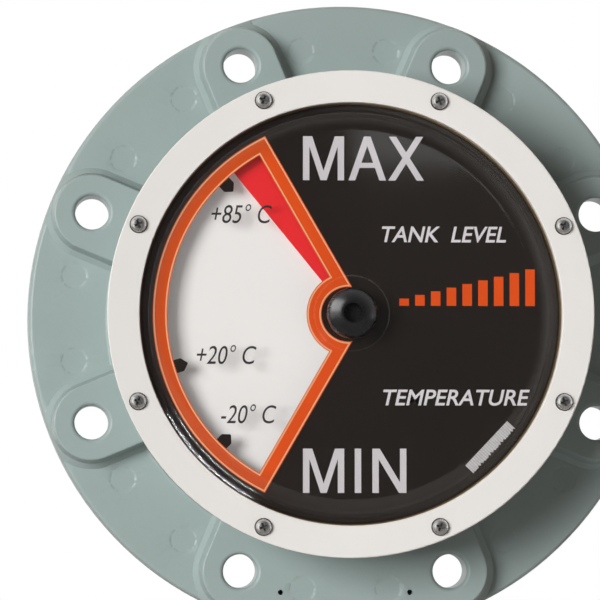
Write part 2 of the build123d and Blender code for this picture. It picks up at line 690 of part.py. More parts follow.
def drive_bush(face, direction):
    """Flanged bush; its flange stands off the face in the given direction."""
    bore = DRIVE_SHAFT_R + RUNNING_FIT
    outer = DRIVE_SHAFT_R + DRIVE_BUSH_WALL
    lip = face + direction * DRIVE_BUSH_FLANGE_T
    end = face - direction * DRIVE_BUSH_LENGTH
    return turned([
        (bore, lip), (DRIVE_BUSH_FLANGE_R, lip), (DRIVE_BUSH_FLANGE_R, face),
        (outer, face), (outer, end), (bore, end)])


def housing_screw_places():
    return [at_polar(HOUSING_SCREW_CIRCLE_R, 360.0 / HOUSING_SCREW_COUNT * (i + 0.5))
            for i in range(HOUSING_SCREW_COUNT)]


def stop_slot():
    """Arc slot in the collar that stops the hub's pin at both ends of its travel."""
    width = STOP_PIN_R + STOP_SLOT_CLEARANCE
    rest = POINTER_REST_ANGLE + 180.0
    travel = CenterArc((0, 0), STOP_PIN_CIRCLE_R, rest - 1.0, POINTER_TRAVEL + 2.0)
    slot = SlotArc(travel, 2 * width)
    return Pos(0, 0, HOUSING_END - CUTTER) * extrude(slot, COLLAR_T + 2 * CUTTER)


def bearing_housing():
    """Turned housing: spigot, flange, nose and the stop collar at its end."""
    spigot_r = MAGNET_CHAMBER_R - LOCATING_FIT
    collar_front = HOUSING_END + COLLAR_T
    housing = turned([
        (0, HOUSING_END), (COLLAR_R, HOUSING_END), (COLLAR_R, collar_front),
        (HOUSING_NOSE_R, collar_front + COLLAR_R - HOUSING_NOSE_R),
        (HOUSING_NOSE_R, HOUSING_BACK), (HOUSING_FLANGE_R, HOUSING_BACK),
        (HOUSING_FLANGE_R, HOUSING_SEAT), (spigot_r, HOUSING_SEAT),
        (spigot_r, HOUSING_SPIGOT_TOP), (0, HOUSING_SPIGOT_TOP)])
    housing -= hole(DRIVE_SHAFT_R + DRIVE_BUSH_WALL, HOUSING_END, HOUSING_SPIGOT_TOP)
    cutter = hole(HOUSING_SCREW_R + HOLE_CLEARANCE, HOUSING_BACK, HOUSING_SEAT)
    for place in housing_screw_places():
        housing -= place * cutter
    return housing - stop_slot()


def housing_gasket():
    seal = ring(HOUSING_FLANGE_R, MAGNET_CHAMBER_R, HOUSING_SEAT, TURRET_END)
    cutter = hole(HOUSING_SCREW_R + HOLE_CLEARANCE, HOUSING_SEAT, TURRET_END)
    for place in housing_screw_places():
        seal -= place * cutter
    return seal


def housing_screws():
    """Socket head cap screws through the housing flange into the turret."""
    head_end = HOUSING_BACK - HOUSING_SCREW_HEAD_H
    screw = disc(HOUSING_SCREW_R, HOUSING_BACK, HOUSING_BACK + HOUSING_SCREW_LENGTH)
    screw += disc(HOUSING_SCREW_HEAD_R, head_end, HOUSING_BACK)
    socket = extrude(RegularPolygon(HOUSING_SCREW_SOCKET_R, 6), HOUSING_SCREW_HEAD_H / 2 + CUTTER)
    screw -= Pos(0, 0, head_end - CUTTER) * socket
    return [place * screw for place in housing_screw_places()]


def across(angle, height):
    """Frame whose local Z points outwards from the axis at an angle."""
    return Rot(0, 0, angle) * Pos(0, 0, height) * Rot(0, 90, 0)


def arm_hub():
    """Round hub on the shaft with a cross hole for the float arm."""
    hub = disc(HUB_R, HUB_BACK, HUB_TOP)
    hub = chamfer(hub.edges().filter_by(GeomType.CIRCLE), HUB_EDGE)
    hub -= hole(DRIVE_SHAFT_R, HUB_BACK, HUB_TOP)
    arm = across(POINTER_REST_ANGLE, HUB_MIDDLE)
    rear = across(POINTER_REST_ANGLE + 180.0, HUB_MIDDLE)
    hub -= arm * disc(ROD_HOLE_R, HUB_R - ROD_HOLE_DEPTH, HUB_R + CUTTER)
    hub -= at_polar(rod_screw_radius(), POINTER_REST_ANGLE) * disc(
        SET_SCREW_R + THREAD_FIT, HUB_BACK - CUTTER, HUB_MIDDLE)
    hub -= rear * disc(SET_SCREW_R + THREAD_FIT, DRIVE_SHAFT_R, HUB_R + CUTTER)
    pin_place = at_polar(STOP_PIN_CIRCLE_R, POINTER_REST_ANGLE + 180.0)
    return hub - pin_place * disc(STOP_PIN_R, HUB_TOP - STOP_PIN_REACH, HUB_TOP + CUTTER)


def rod_screw_radius():
    return HUB_R - ROD_HOLE_DEPTH / 2


def set_screw(length):
    """Grub screw from height zero upwards, its socket at the top."""
    screw = disc(SET_SCREW_R, 0, length)
    socket = extrude(RegularPolygon(SET_SCREW_SOCKET_R, 6), length / 2 + CUTTER)
    return screw - Pos(0, 0, length / 2) * socket


def hub_screws():
    """One grub screw locks the hub on its shaft, the other clamps the float arm."""
    shaft_screw = set_screw(HUB_R - DRIVE_SHAFT_R - HUB_EDGE)
    rod_length = HUB_T / 2 - ROD_HOLE_R
    rod_screw = Pos(0, 0, HUB_BACK + rod_length) * Rot(180, 0, 0) * set_screw(rod_length)
    return [
        across(POINTER_REST_ANGLE + 180.0, HUB_MIDDLE) * Pos(0, 0, DRIVE_SHAFT_R) * shaft_screw,
        at_polar(rod_screw_radius(), POINTER_REST_ANGLE) * rod_screw]


def stop_pin():
    pin = disc(STOP_PIN_R, HUB_TOP - STOP_PIN_REACH, HOUSING_END + STOP_PIN_REACH)
    return at_polar(STOP_PIN_CIRCLE_R, POINTER_REST_ANGLE + 180.0) * pin


# ---------------------------------------------------------------- assembly

def assembly():
    return {
        "flange_body": flange_body(),
        "bezel_ring": bezel_ring(),
        "bezel_screws": bezel_screws(),
        "bezel_gasket": gasket(COVER_FLANGE_TOP),
        "cover_gasket": gasket(DRUM_TOP),
        "clear_cover": clear_cover(),
        "cover_plug": cover_plug(),
        "plug_nut": plug_nut(),
        "dial_plate": dial_plate(),
        "dial_mask": dial_mask(),
        "window_border": window_border(),
        "dial_spacer": dial_spacer(),
        "back_plate": back_plate(),
        "bearing_bridge": bearing_bridge(),
        "bridge_screws": bridge_screws(),
        "pointer_bush": pointer_bush(),
        "pointer_vane": pointer_vane(),
        "pointer_weight": pointer_weight(),
        "pointer_hub": pointer_hub(),
        "pointer_spindle": pointer_spindle(),
        "pointer_circlip": pointer_circlip(),
        "follower_cup": follower_cup(),
        "follower_magnet": follower_magnet(),
        "bearing_housing": bearing_housing(),
        "housing_gasket": housing_gasket(),
        "housing_screws": housing_screws(),
        "inner_bush": drive_bush(HOUSING_SPIGOT_TOP, 1),
        "outer_bush": drive_bush(HOUSING_END, -1),
        "drive_shaft": drive_shaft(),
        "drive_circlip": drive_circlip(),
        "drive_cup": drive_cup(),
        "drive_magnet": drive_magnet(),
        "arm_hub": arm_hub(),
        "hub_screws": hub_screws(),
        "stop_pin": stop_pin(),
    }


def stand_up(piece):
    """Turn a piece from the dial's frame so that the dial faces -Y with +Z up."""
    solids = piece if isinstance(piece, list) else [piece]
    solids = [solid for item in solids for solid in (Rot(90, 0, 0) * item).solids()]
    return solids[0] if len(solids) == 1 else Compound(solids)


def main():
    os.makedirs("parts", exist_ok=True)
    for name, piece in assembly().items():
        export_step(stand_up(piece), "parts/" + name + ".step")


main()
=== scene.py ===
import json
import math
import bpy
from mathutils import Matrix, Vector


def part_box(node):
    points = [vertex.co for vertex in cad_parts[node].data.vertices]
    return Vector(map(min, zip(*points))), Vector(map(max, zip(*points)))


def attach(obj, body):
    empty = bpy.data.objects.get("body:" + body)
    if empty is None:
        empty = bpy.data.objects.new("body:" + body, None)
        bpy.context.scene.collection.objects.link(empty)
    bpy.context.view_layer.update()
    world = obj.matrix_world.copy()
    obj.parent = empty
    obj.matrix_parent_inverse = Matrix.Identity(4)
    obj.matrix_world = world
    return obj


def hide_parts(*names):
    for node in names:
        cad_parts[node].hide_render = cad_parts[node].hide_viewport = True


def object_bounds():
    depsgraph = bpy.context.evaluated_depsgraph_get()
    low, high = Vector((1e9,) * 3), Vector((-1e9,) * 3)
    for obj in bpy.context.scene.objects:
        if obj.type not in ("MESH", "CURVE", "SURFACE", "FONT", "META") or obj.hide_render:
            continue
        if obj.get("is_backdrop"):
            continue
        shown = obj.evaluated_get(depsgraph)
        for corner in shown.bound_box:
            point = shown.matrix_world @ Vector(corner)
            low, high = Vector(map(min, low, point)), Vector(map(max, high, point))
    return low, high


bl_info = {
    "name": "Tank level gauge",
    "version": (1, 0, 0),
    "blender": (4, 5, 0),
    "location": "3D View > Sidebar > Level Gauge",
    "description": "Dresses a magnetic tank level gauge and sets up its stage",
    "category": "Object",
}

import bmesh
import bpy
from bpy.props import FloatProperty, FloatVectorProperty, IntProperty, PointerProperty
from mathutils import Matrix, Vector

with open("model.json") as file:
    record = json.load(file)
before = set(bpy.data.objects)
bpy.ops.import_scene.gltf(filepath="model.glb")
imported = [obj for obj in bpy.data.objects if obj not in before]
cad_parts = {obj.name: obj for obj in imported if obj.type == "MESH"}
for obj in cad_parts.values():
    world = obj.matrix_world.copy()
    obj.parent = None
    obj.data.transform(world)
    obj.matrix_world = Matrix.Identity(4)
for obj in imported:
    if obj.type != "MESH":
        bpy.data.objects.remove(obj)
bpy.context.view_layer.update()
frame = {"nodes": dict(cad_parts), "record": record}
MM = 0.001


# ------------------------------------------------------------------ the frame's own places

def front_of(node):
    """The node's face towards the reader; the dial faces -Y."""
    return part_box(node)[0].y


def back_of(node):
    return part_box(node)[1].y


def radius_of(node):
    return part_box(node)[1].x


def body_of(node):
    bodies = frame["record"]["behaviour"]["bodies"]
    return next(body for body, nodes in bodies.items() if node in nodes)


# ------------------------------------------------------------------ sizes and colours

def length(name, description, value):
    return FloatProperty(name=name, description=description, default=value,
                         unit="LENGTH", precision=5)


def angle(name, description, degrees):
    return FloatProperty(name=name, description=description, default=math.radians(degrees),
                         unit="ROTATION")


def colour(name, description, value):
    return FloatVectorProperty(name=name, description=description, default=value,
                               size=3, subtype="COLOR", min=0.0, max=1.0)


class GaugeSizes(bpy.types.PropertyGroup):
    ink: length("Ink", "Thickness of the printed lettering", 0.05 * MM)
    big_letters: length("MAX and MIN height", "Cap height of the two large words", 19.8 * MM)
    big_left: length("MAX and MIN left", "Left edge of the two large words", -21.3 * MM)
    big_level: length("MAX and MIN level", "Their middle above or below the dial axis", 70.1 * MM)
    big_stroke: length("MAX and MIN stroke", "Width of an upright stroke", 2.9 * MM)
    small_letters: length("Label height", "Cap height of the two small labels", 7.2 * MM)
    figure_letters: length("Figure height", "Height of the temperature figures", 8.6 * MM)
    stripe: length("Pinstripe", "Width of the pale lines on the border", 0.66 * MM)
    stripe_inset: length("Pinstripe inset", "Orange left outside each pale line", 0.36 * MM)
    border: length("Border", "Width of the orange border", 6.7 * MM)
    window_radius: length("Window radius", "Outer arc of the window", 82.0 * MM)
    window_hub_radius: length("Window hub radius", "Inner arc of the window", 18.9 * MM)
    window_hub_shift: length("Window hub shift", "Inner arc's middle, left of the axis", 0.8 * MM)
    window_side: length("Window side", "Slanted sides' distance from the axis", 0.1 * MM)
    window_slant: angle("Window slant", "Slope of the window's straight sides", 60.0)
    bar_count: IntProperty(name="Bars", description="Bars in the level symbol", default=9, min=2)
    bar_pitch: length("Bar pitch", "Distance from one bar to the next", 7.1 * MM)
    bar_width: length("Bar width", "Width of one bar", 4.3 * MM)
    bar_low: length("Shortest bar", "Height of the first bar", 3.2 * MM)
    bar_high: length("Tallest bar", "Height of the last bar", 16.5 * MM)
    strip_length: length("Strip length", "Length of the bare foil strip", 27.5 * MM)
    strip_width: length("Strip width", "Width of the bare foil strip", 5.2 * MM)
    strip_radius: length("Strip radius", "Distance of the strip from the axis", 86.6 * MM)
    strip_turn: angle("Strip turn", "Angle of the strip below the reader's right", 43.4)
    screw_recess: length("Recess", "Width of the cross recess at the rim", 1.05 * MM)


class GaugeColours(bpy.types.PropertyGroup):
    casting: colour("Casting", "Grey-green paint", (0.330, 0.405, 0.392))
    bezel: colour("Bezel", "Warm white enamel", (0.84, 0.825, 0.795))
    dial_black: colour("Dial black", "Black screen print", (0.0150, 0.0110, 0.0085))
    orange: colour("Orange", "Border and symbol", (0.86, 0.095, 0.010))
    # Painted shadow: the darker orange laid on the border beside the rim.
    orange_painted_shadow: colour("Shaded orange", "Border beside the rim", (0.60, 0.082, 0.012))
    pale_line: colour("Pinstripe", "Pale lines on the border", (0.90, 0.46, 0.24))
    red: colour("Pointer red", "Enamel of the pointer", (0.80, 0.022, 0.026))
    white: colour("Plate white", "Enamel of the plate behind the window", (0.82, 0.805, 0.785))
    letters: colour("Letters", "Pale grey lettering", (0.70, 0.675, 0.70))
    figures: colour("Figures", "Dark figures in the window", (0.035, 0.033, 0.032))
    gasket: colour("Gasket", "Tan cork and rubber", (0.15, 0.105, 0.055))


def sizes():
    return bpy.context.scene.gauge_sizes


def colours():
    return bpy.context.scene.gauge_colours


# ------------------------------------------------------------------ node trees

class Socket:
    """One output in a node tree; arithmetic on it adds Math nodes."""

    def __init__(self, nodes, output):
        self.nodes, self.output = nodes, output

    def maths(self, operation, *values):
        inputs = dict(enumerate((self, *values)))
        return self.nodes.add("ShaderNodeMath", inputs, operation=operation)

    def __add__(self, other):
        return self.maths("ADD", other)

    __radd__ = __add__

    def __mul__(self, other):
        return self.maths("MULTIPLY", other)

    __rmul__ = __mul__

    def __truediv__(self, other):
        return self.maths("DIVIDE", other)

    def __sub__(self, other):
        return self.maths("SUBTRACT", other)

    def __rsub__(self, other):
        return self.nodes.add("ShaderNodeMath", {0: other, 1: self}, operation="SUBTRACT")

    def __gt__(self, other):
        return self.maths("GREATER_THAN", other)

    def __lt__(self, other):
        return self.maths("LESS_THAN", other)

    def __pow__(self, other):
        return self.maths("POWER", other)

    def larger(self, other):
        return self.maths("MAXIMUM", other)

    def held(self):
        """The value kept between 0 and 1."""
        return self.larger(0.0).maths("MINIMUM", 1.0)

    def spread(self, low, high):
        """A value from 0 to 1 spread between two others."""
        return self * (high - low) + low


class Nodes:
    """A node tree with one method that adds any node."""

    def __init__(self, tree):
        self.tree = tree

    def feed(self, socket, value):
        if isinstance(value, Socket):
            self.tree.links.new(value.output, socket)
        elif socket.type == "RGBA" and len(value) == 3:
            socket.default_value = (*value, 1.0)
        else:
            socket.default_value = value

    def add(self, kind, inputs=None, output=0, **settings):
        """A node with its settings made first, then its inputs; gives one of its outputs."""
        node = self.tree.nodes.new(kind)
        for key, value in settings.items():
            setattr(node, key, value)
        for key, value in (inputs or {}).items():
            self.feed(node.inputs[key], value)
        return Socket(self, node.outputs[output])

    def mix(self, factor, first, second):
        """A colour between two others."""
        return self.add("ShaderNodeMix", {0: factor, 6: first, 7: second}, output=2,
                        data_type="RGBA")


class Shader(Nodes):
    """A material with a Principled surface."""

    def __init__(self, name, roughness=0.5, metallic=0.0, **constants):
        self.material = bpy.data.materials.new(name)
        self.material.use_nodes = True
        super().__init__(self.material.node_tree)
        self.surface = self.tree.nodes["Principled BSDF"]
        self.set("Roughness", roughness)
        self.set("Metallic", metallic)
        for key, value in constants.items():
            self.set(key.replace("_", " "), value)

    def set(self, name, value):
        self.feed(self.surface.inputs[name], value)

    def place(self):
        return self.add("ShaderNodeTexCoord", output="Object")

    def separate(self):
        where = self.place()
        return [self.add("ShaderNodeSeparateXYZ", {0: where}, output=i) for i in range(3)]

    def noise(self, scale, detail=3.0, stretch=None, roughness=0.55):
        where = self.place()
        if stretch:
            where = self.add("ShaderNodeMapping", {"Vector": where, "Scale": stretch})
        return self.add("ShaderNodeTexNoise", {
            "Vector": where, "Scale": scale, "Detail": detail, "Roughness": roughness})

    def bump(self, height, depth, strength):
        self.set("Normal", self.add("ShaderNodeBump", {
            "Height": height, "Distance": depth, "Strength": strength}))


def distance(x, z):
    """How far a place lies from where x and z are 0."""
    return (x * x + z * z).maths("SQRT")


def shade(colour_value, factor):
    return tuple(min(1.0, channel * factor) for channel in colour_value)


# ------------------------------------------------------------------ finishes

def once(make):
    """Each finish is made one time and shared."""
    made = {}

    def give():
        if make not in made:
            made[make] = make()
        return made[make]
    return give


def mottled(name, grain, shades, rough, bump=None, marks=None, metallic=0.0):
    """Two shades and a roughness that follow one noise; a bump follows it too, or finer marks."""
    shader = Shader(name, metallic=metallic)
    clouds = shader.noise(*grain)
    shader.set("Base Color", shader.mix(clouds, *shades))
    shader.set("Roughness", clouds.spread(*rough))
    if bump:
        shader.bump(shader.noise(*marks) if marks else clouds, *bump)
    return shader.material


@once
def casting_paint():
    """Thick grey-green paint: faint clouds, orange peel and a few dust nibs."""
    shader = Shader("casting_paint", Coat_Roughness=0.16, Coat_Weight=0.18,
                    Specular_IOR_Level=0.30)
    base = colours().casting
    clouds = shader.noise(22.0, 4.0)
    grains = shader.noise(1400.0, 2.0)
    body = shader.mix(clouds, shade(base, 0.93), shade(base, 1.07))
    shader.set("Base Color", shader.mix(grains * 0.22, body, shade(base, 0.80)))
    shader.set("Roughness", clouds.spread(0.34, 0.50))
    peel = shader.noise(420.0, 2.0)
    nibs = shader.add("ShaderNodeTexVoronoi", {
        "Vector": shader.place(), "Scale": 75.0, "Randomness": 1.0}, output="Distance")
    nib = (0.045 - nibs).larger(0.0) * 9.0
    shader.bump(peel * 0.5 + grains * 0.18 + nib, 0.00022, 0.55)
    return shader.material


@once
def bezel_enamel():
    """Stoved warm white enamel with a very fine grain, with painted shade on the reader's left."""
    shader = Shader("bezel_enamel", Coat_Weight=0.15, Coat_Roughness=0.18)
    base = colours().bezel
    clouds = shader.noise(30.0, 3.0)
    grain = shader.noise(1900.0, 2.0)
    body = shader.mix(clouds, shade(base, 0.975), shade(base, 1.02))
    # Painted shade: the enamel grows darker towards the reader's left.
    painted_shade_left = (shader.separate()[0] * -9.0).held()
    body = shader.mix(painted_shade_left, body, shade(base, 0.90))
    shader.set("Base Color", shader.mix(grain * 0.10, body, shade(base, 0.85)))
    shader.set("Roughness", clouds.spread(0.30, 0.40))
    shader.bump(grain, 0.00006, 0.35)
    return shader.material


@once
def screw_steel():
    """Bright stainless steel with short scratches, with painted shade where the mesh marks it."""
    shader = Shader("screw_steel")
    scratches = shader.noise(900.0, 2.0, (1.0, 1.0, 0.08))
    stain = shader.noise(1100.0, 3.0)
    # Painted shade: where the mesh marks the rim and the recess, the steel turns dark, rougher and
    # less metallic.
    painted_shade = shader.add("ShaderNodeAttribute", output="Fac", attribute_name="painted_shade")
    bright = shader.mix(stain, (0.40, 0.39, 0.375), (0.84, 0.83, 0.81))
    shader.set("Base Color", shader.mix(painted_shade, bright, (0.030, 0.027, 0.025)))
    shader.set("Roughness", scratches.spread(0.16, 0.40).larger(painted_shade * 0.6))
    shader.set("Metallic", 1.0 - painted_shade * 0.7)
    shader.bump(scratches, 0.00006, 0.6)
    return shader.material


@once
def ground_steel():
    """Turned and ground shaft steel."""
    return mottled("ground_steel", (50.0, 3.0, (1.0, 40.0, 1.0)),
                   ((0.50, 0.50, 0.49), (0.68, 0.67, 0.66)), (0.20, 0.38),
                   bump=(0.00003, 0.6), metallic=1.0)


@once
def hub_zinc():
    """Zinc plated steel: bluish, cloudy and slightly matt."""
    return mottled("hub_zinc", (90.0, 4.0), ((0.52, 0.53, 0.54), (0.70, 0.70, 0.68)), (0.28, 0.46),
                   bump=(0.00004, 0.5), marks=(60.0, 2.0, (1.0, 30.0, 1.0)), metallic=1.0)


@once
def turned_alloy():
    """Turned aluminium with tool rings along the axis."""
    shader = Shader("turned_alloy", metallic=1.0)
    tool = shader.noise(55.0, 3.0, (1.0, 45.0, 1.0))
    clouds = shader.noise(60.0, 3.0)
    shader.set("Base Color", shader.mix(clouds, (0.66, 0.67, 0.68), (0.80, 0.80, 0.80)))
    shader.set("Roughness", tool.spread(0.26, 0.42))
    shader.bump(tool, 0.00005, 0.6)
    return shader.material


def yellow_metal(name, dark, light):
    """Turned copper alloy, tarnished in clouds."""
    return mottled(name, (110.0, 4.0), (dark, light), (0.22, 0.40),
                   bump=(0.00004, 0.6), marks=(60.0, 3.0, (1.0, 40.0, 1.0)), metallic=1.0)


@once
def turned_brass():
    return yellow_metal("turned_brass", (0.60, 0.41, 0.15), (0.78, 0.58, 0.26))


@once
def bush_bronze():
    return yellow_metal("bush_bronze", (0.42, 0.24, 0.10), (0.62, 0.40, 0.20))


@once
def magnet_ceramic():
    """Sintered magnet, dark and grainy."""
    return mottled("magnet_ceramic", (1200.0, 3.0), ((0.035, 0.035, 0.038), (0.085, 0.085, 0.09)),
                   (0.45, 0.65), bump=(0.00006, 0.6))


@once
def cork_rubber():
    """Tan gasket sheet with cork crumbs."""
    shader = Shader("cork_rubber", roughness=0.85)
    base = colours().gasket
    crumbs = shader.add("ShaderNodeTexVoronoi", {
        "Vector": shader.place(), "Scale": 900.0}, output="Distance")
    shader.set("Base Color", shader.mix(crumbs, shade(base, 0.65), shade(base, 1.35)))
    shader.bump(crumbs, 0.0001, 0.6)
    return shader.material


@once
def black_rubber():
    """Gasket sheet, black and matt."""
    return mottled("black_rubber", (1500.0, 2.0), ((0.018, 0.018, 0.018), (0.035, 0.034, 0.033)),
                   (0.60, 0.78), bump=(0.00005, 0.6))


@once
def glossy_moulding():
    """Black moulded plug, polished."""
    return mottled("glossy_moulding", (260.0, 3.0), ((0.007, 0.007, 0.008), (0.013, 0.013, 0.014)),
                   (0.22, 0.32))


@once
def spacer_moulding():
    """Black moulded ring, matt."""
    return mottled("spacer_moulding", (900.0, 2.0), ((0.014, 0.014, 0.014), (0.026, 0.025, 0.024)),
                   (0.50, 0.65))


def clear_plastic(name, least, gloss, flat_radius=1.0):
    """See-through moulding: a mirror skin, thin face on and stronger at a slant, over nothing.

    Beyond the flat radius the skin is less polished."""
    shader = Shader(name, metallic=1.0)
    smears = shader.noise(18.0, 4.0)
    facing = shader.add("ShaderNodeLayerWeight", {"Blend": 0.5}, output="Facing")
    shader.set("Base Color", shader.mix(smears, (0.96, 0.97, 0.97), (1.0, 1.0, 1.0)))
    x, _, z = shader.separate()
    edge = (distance(x, z) > flat_radius) * 0.12
    shader.set("Roughness", smears.spread(0.02, gloss).larger(edge))
    shader.set("Alpha", (facing ** 5.0).spread(least, 1.0))
    return shader.material


@once
def cover_moulding():
    return clear_plastic("cover_moulding", 0.035, 0.09, flat_radius=82.5 * MM)


@once
def clear_sheet():
    return clear_plastic("clear_sheet", 0.010, 0.12)


@once
def dial_print():
    """Satin black screen print with a faint brown cloud and dust."""
    shader = Shader("dial_print")
    base = colours().dial_black
    clouds = shader.noise(14.0, 4.0)
    dust = shader.noise(2200.0, 2.0, roughness=0.7)
    body = shader.mix(clouds, shade(base, 0.75), shade(base, 1.30))
    speck = ((dust - 0.70) * 9.0).held() * 0.35
    shader.set("Base Color", shader.mix(speck, body, (0.10, 0.095, 0.09)))
    shader.set("Roughness", clouds.spread(0.42, 0.56))
    return shader.material


@once
def border_print():
    """Orange print whose two pale lines follow the window's own outline, with painted shadow
    beside the rim.
    """
    shader = Shader("border_print")
    hues, size = colours(), sizes()
    x, _, z = shader.separate()
    from_axis = distance(x, z)
    from_hub = distance(x + size.window_hub_shift, z)
    across, along = math.sin(size.window_slant), math.cos(size.window_slant)
    outline = (z.maths("ABSOLUTE") * along + x * across - size.window_side).larger(
        from_axis - size.window_radius).larger(size.window_hub_radius - from_hub)
    last = size.border - size.stripe_inset
    inner = (outline > size.stripe_inset) * (outline < size.stripe_inset + size.stripe)
    outer = (outline > last - size.stripe) * (outline < last)
    clouds = shader.noise(26.0, 4.0)
    body = shader.mix(clouds, shade(hues.orange, 0.88), shade(hues.orange, 1.08))
    # Painted shadow: the orange turns darker towards the outer arc, next to the rim.
    rim = ((from_axis - (size.window_radius - 4 * MM)) * 150.0).held()
    body = shader.mix(rim * 0.7, body, hues.orange_painted_shadow)
    shader.set("Base Color", shader.mix(inner.larger(outer), body, hues.pale_line))
    shader.set("Roughness", clouds.spread(0.40, 0.52))
    return shader.material


def ink(name, base):
    """Printed colour, close to even."""
    return mottled(name, (70.0, 3.0), (shade(base, 0.92), shade(base, 1.05)), (0.42, 0.55))


@once
def letter_ink():
    return ink("letter_ink", colours().letters)


@once
def label_ink():
    return ink("label_ink", shade(colours().letters, 1.12))


@once
def figure_ink():
    return ink("figure_ink", colours().figures)


@once
def orange_ink():
    return ink("orange_ink", colours().orange)


@once
def strip_foil():
    """Scuffed silver foil of the bare strip, with fine ribs across it."""
    shader = Shader("strip_foil", metallic=0.25)
    rib_pitch = 1.1 * MM
    scuffs = shader.noise(620.0, 3.0, roughness=0.7)
    turned = shader.add("ShaderNodeMapping", {
        "Vector": shader.place(), "Rotation": (0.0, math.pi / 2 - sizes().strip_turn, 0.0)})
    along = shader.add("ShaderNodeSeparateXYZ", {0: turned})
    ribs = (along * (2 * math.pi / rib_pitch)).maths("SINE") * 0.5 + 0.5
    silver = shader.mix(scuffs, (0.56, 0.55, 0.55), (0.98, 0.97, 0.97))
    shader.set("Base Color", shader.mix(ribs * 0.45, silver, (0.36, 0.36, 0.37)))
    shader.set("Roughness", scuffs.spread(0.30, 0.60))
    shader.bump(ribs + scuffs * 0.5, 0.00012, 0.7)
    return shader.material


@once
def plate_enamel():
    """White enamel behind the window."""
    base = colours().white
    return mottled("plate_enamel", (16.0, 3.0), (shade(base, 0.975), shade(base, 1.02)),
                   (0.42, 0.55))


@once
def pointer_enamel():
    """Red enamel of the pointer."""
    base = colours().red
    return mottled("pointer_enamel", (24.0, 3.0), (shade(base, 0.92), shade(base, 1.05)),
                   (0.36, 0.48))


# ------------------------------------------------------------------ making pieces

def as_mesh(name, work):
    """A mesh of a bmesh, which is freed."""
    mesh = bpy.data.meshes.new(name)
    work.to_mesh(mesh)
    work.free()
    return mesh


def linked(name, mesh, material):
    mesh.materials.clear()
    mesh.materials.append(material)
    piece = bpy.data.objects.new(name, mesh)
    bpy.context.scene.collection.objects.link(piece)
    return piece


def baked(piece):
    """The piece with its modifiers worked into a plain mesh."""
    bpy.context.view_layer.update()
    graph = bpy.context.evaluated_depsgraph_get()
    mesh = bpy.data.meshes.new_from_object(
        piece.evaluated_get(graph), preserve_all_data_layers=True, depsgraph=graph)
    piece.modifiers.clear()
    piece.data = mesh
    return piece


def smoothed(mesh, crease_degrees):
    """Merges loose corners, keeps creases sharp and shades the rest smooth."""
    work = bmesh.new()
    work.from_mesh(mesh)
    bmesh.ops.remove_doubles(work, verts=work.verts, dist=2e-6)
    for edge in work.edges:
        edge.smooth = edge.calc_face_angle(math.pi) < math.radians(crease_degrees)
    for face in work.faces:
        face.smooth = True
    work.to_mesh(mesh)
    work.free()


def dressed(node, material, crease_degrees=32.0):
    """A copy of a CAD node with smooth curves, which stands for the node."""
    mesh = frame["nodes"][node].data.copy()
    smoothed(mesh, crease_degrees)
    piece = linked(node + "_finished", mesh, material)
    weighted = piece.modifiers.new("even shading", "WEIGHTED_NORMAL")
    weighted.keep_sharp = True
    weighted.weight = 80
    baked(piece)
    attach(piece, body_of(node))
    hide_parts(node)
    return piece


def riding(piece, body):
    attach(piece, body)
    return piece


def lathe(points, steps=48):
    """Closed shape turned about -Y from (radius, height) points, heights towards the reader."""
    work = bmesh.new()
    rings = []
    for radius, height in points:
        if radius < 1e-7:
            rings.append([work.verts.new((0, -height, 0))])
            continue
        rings.append([work.verts.new((radius * math.cos(a), -height, radius * math.sin(a)))
                      for a in (2 * math.pi * i / steps for i in range(steps))])
    for low, high in zip(rings, rings[1:]):
        for i in range(steps):
            j = (i + 1) % steps
            corners = [low[i % len(low)], low[j % len(low)],
                       high[j % len(high)], high[i % len(high)]]
            work.faces.new(list(dict.fromkeys(corners)))
    bmesh.ops.recalc_face_normals(work, faces=work.faces)
    return as_mesh("turned", work)


# ------------------------------------------------------------------ geometry nodes

class Geometry(Nodes):
    """A geometry node tree with named inputs."""

    def __init__(self, name):
        super().__init__(bpy.data.node_groups.new(name, "GeometryNodeTree"))
        self.identifiers = {}
        self.entry = self.tree.nodes.new("NodeGroupInput")

    def inputs(self, **kinds):
        """The tree's named inputs, in the order given."""
        for name, kind in kinds.items():
            item = self.tree.interface.new_socket(
                name=name, in_out="INPUT", socket_type="NodeSocket" + kind)
            self.identifiers[name] = item.identifier
        return [Socket(self, self.entry.outputs[name]) for name in kinds]

    def finish(self, geometry, material):
        real = self.add("GeometryNodeRealizeInstances", {0: geometry})
        done = self.add("GeometryNodeSetMaterial", {"Geometry": real, "Material": material})
        self.tree.interface.new_socket(
            name="Geometry", in_out="OUTPUT", socket_type="NodeSocketGeometry")
        self.feed(self.tree.nodes.new("NodeGroupOutput").inputs[0], done)
        return self

    def run(self, name, material, **values):
        """A plain mesh piece made by the tree with these input values."""
        piece = linked(name, bpy.data.meshes.new(name), material)
        modifier = piece.modifiers.new(name, "NODES")
        modifier.node_group = self.tree
        for key, value in values.items():
            modifier[self.identifiers[key]] = value
        return baked(piece)


def ring_tree():
    """Copies of a piece set evenly round the dial axis, each turned to face outwards."""
    tree = Geometry("ring_of_pieces")
    piece, count, radius, first, level, finish = tree.inputs(
        Piece="Object", Count="Int", Radius="Float", First="Float", Level="Float",
        Finish="Material")
    line = tree.add("GeometryNodeMeshLine", {"Count": count})
    turn = tree.add("GeometryNodeInputIndex") / count * (2 * math.pi) + first
    where = tree.add("ShaderNodeCombineXYZ", {
        0: turn.maths("COSINE") * radius, 1: level, 2: turn.maths("SINE") * radius})
    points = tree.add("GeometryNodeSetPosition", {"Geometry": line, "Position": where})
    facing = tree.add("ShaderNodeCombineXYZ", {1: turn * -1.0})
    shape = tree.add("GeometryNodeObjectInfo", {"Object": piece}, output="Geometry")
    copies = tree.add("GeometryNodeInstanceOnPoints", {
        "Points": points, "Instance": shape, "Rotation": facing})
    return tree.finish(copies, finish)


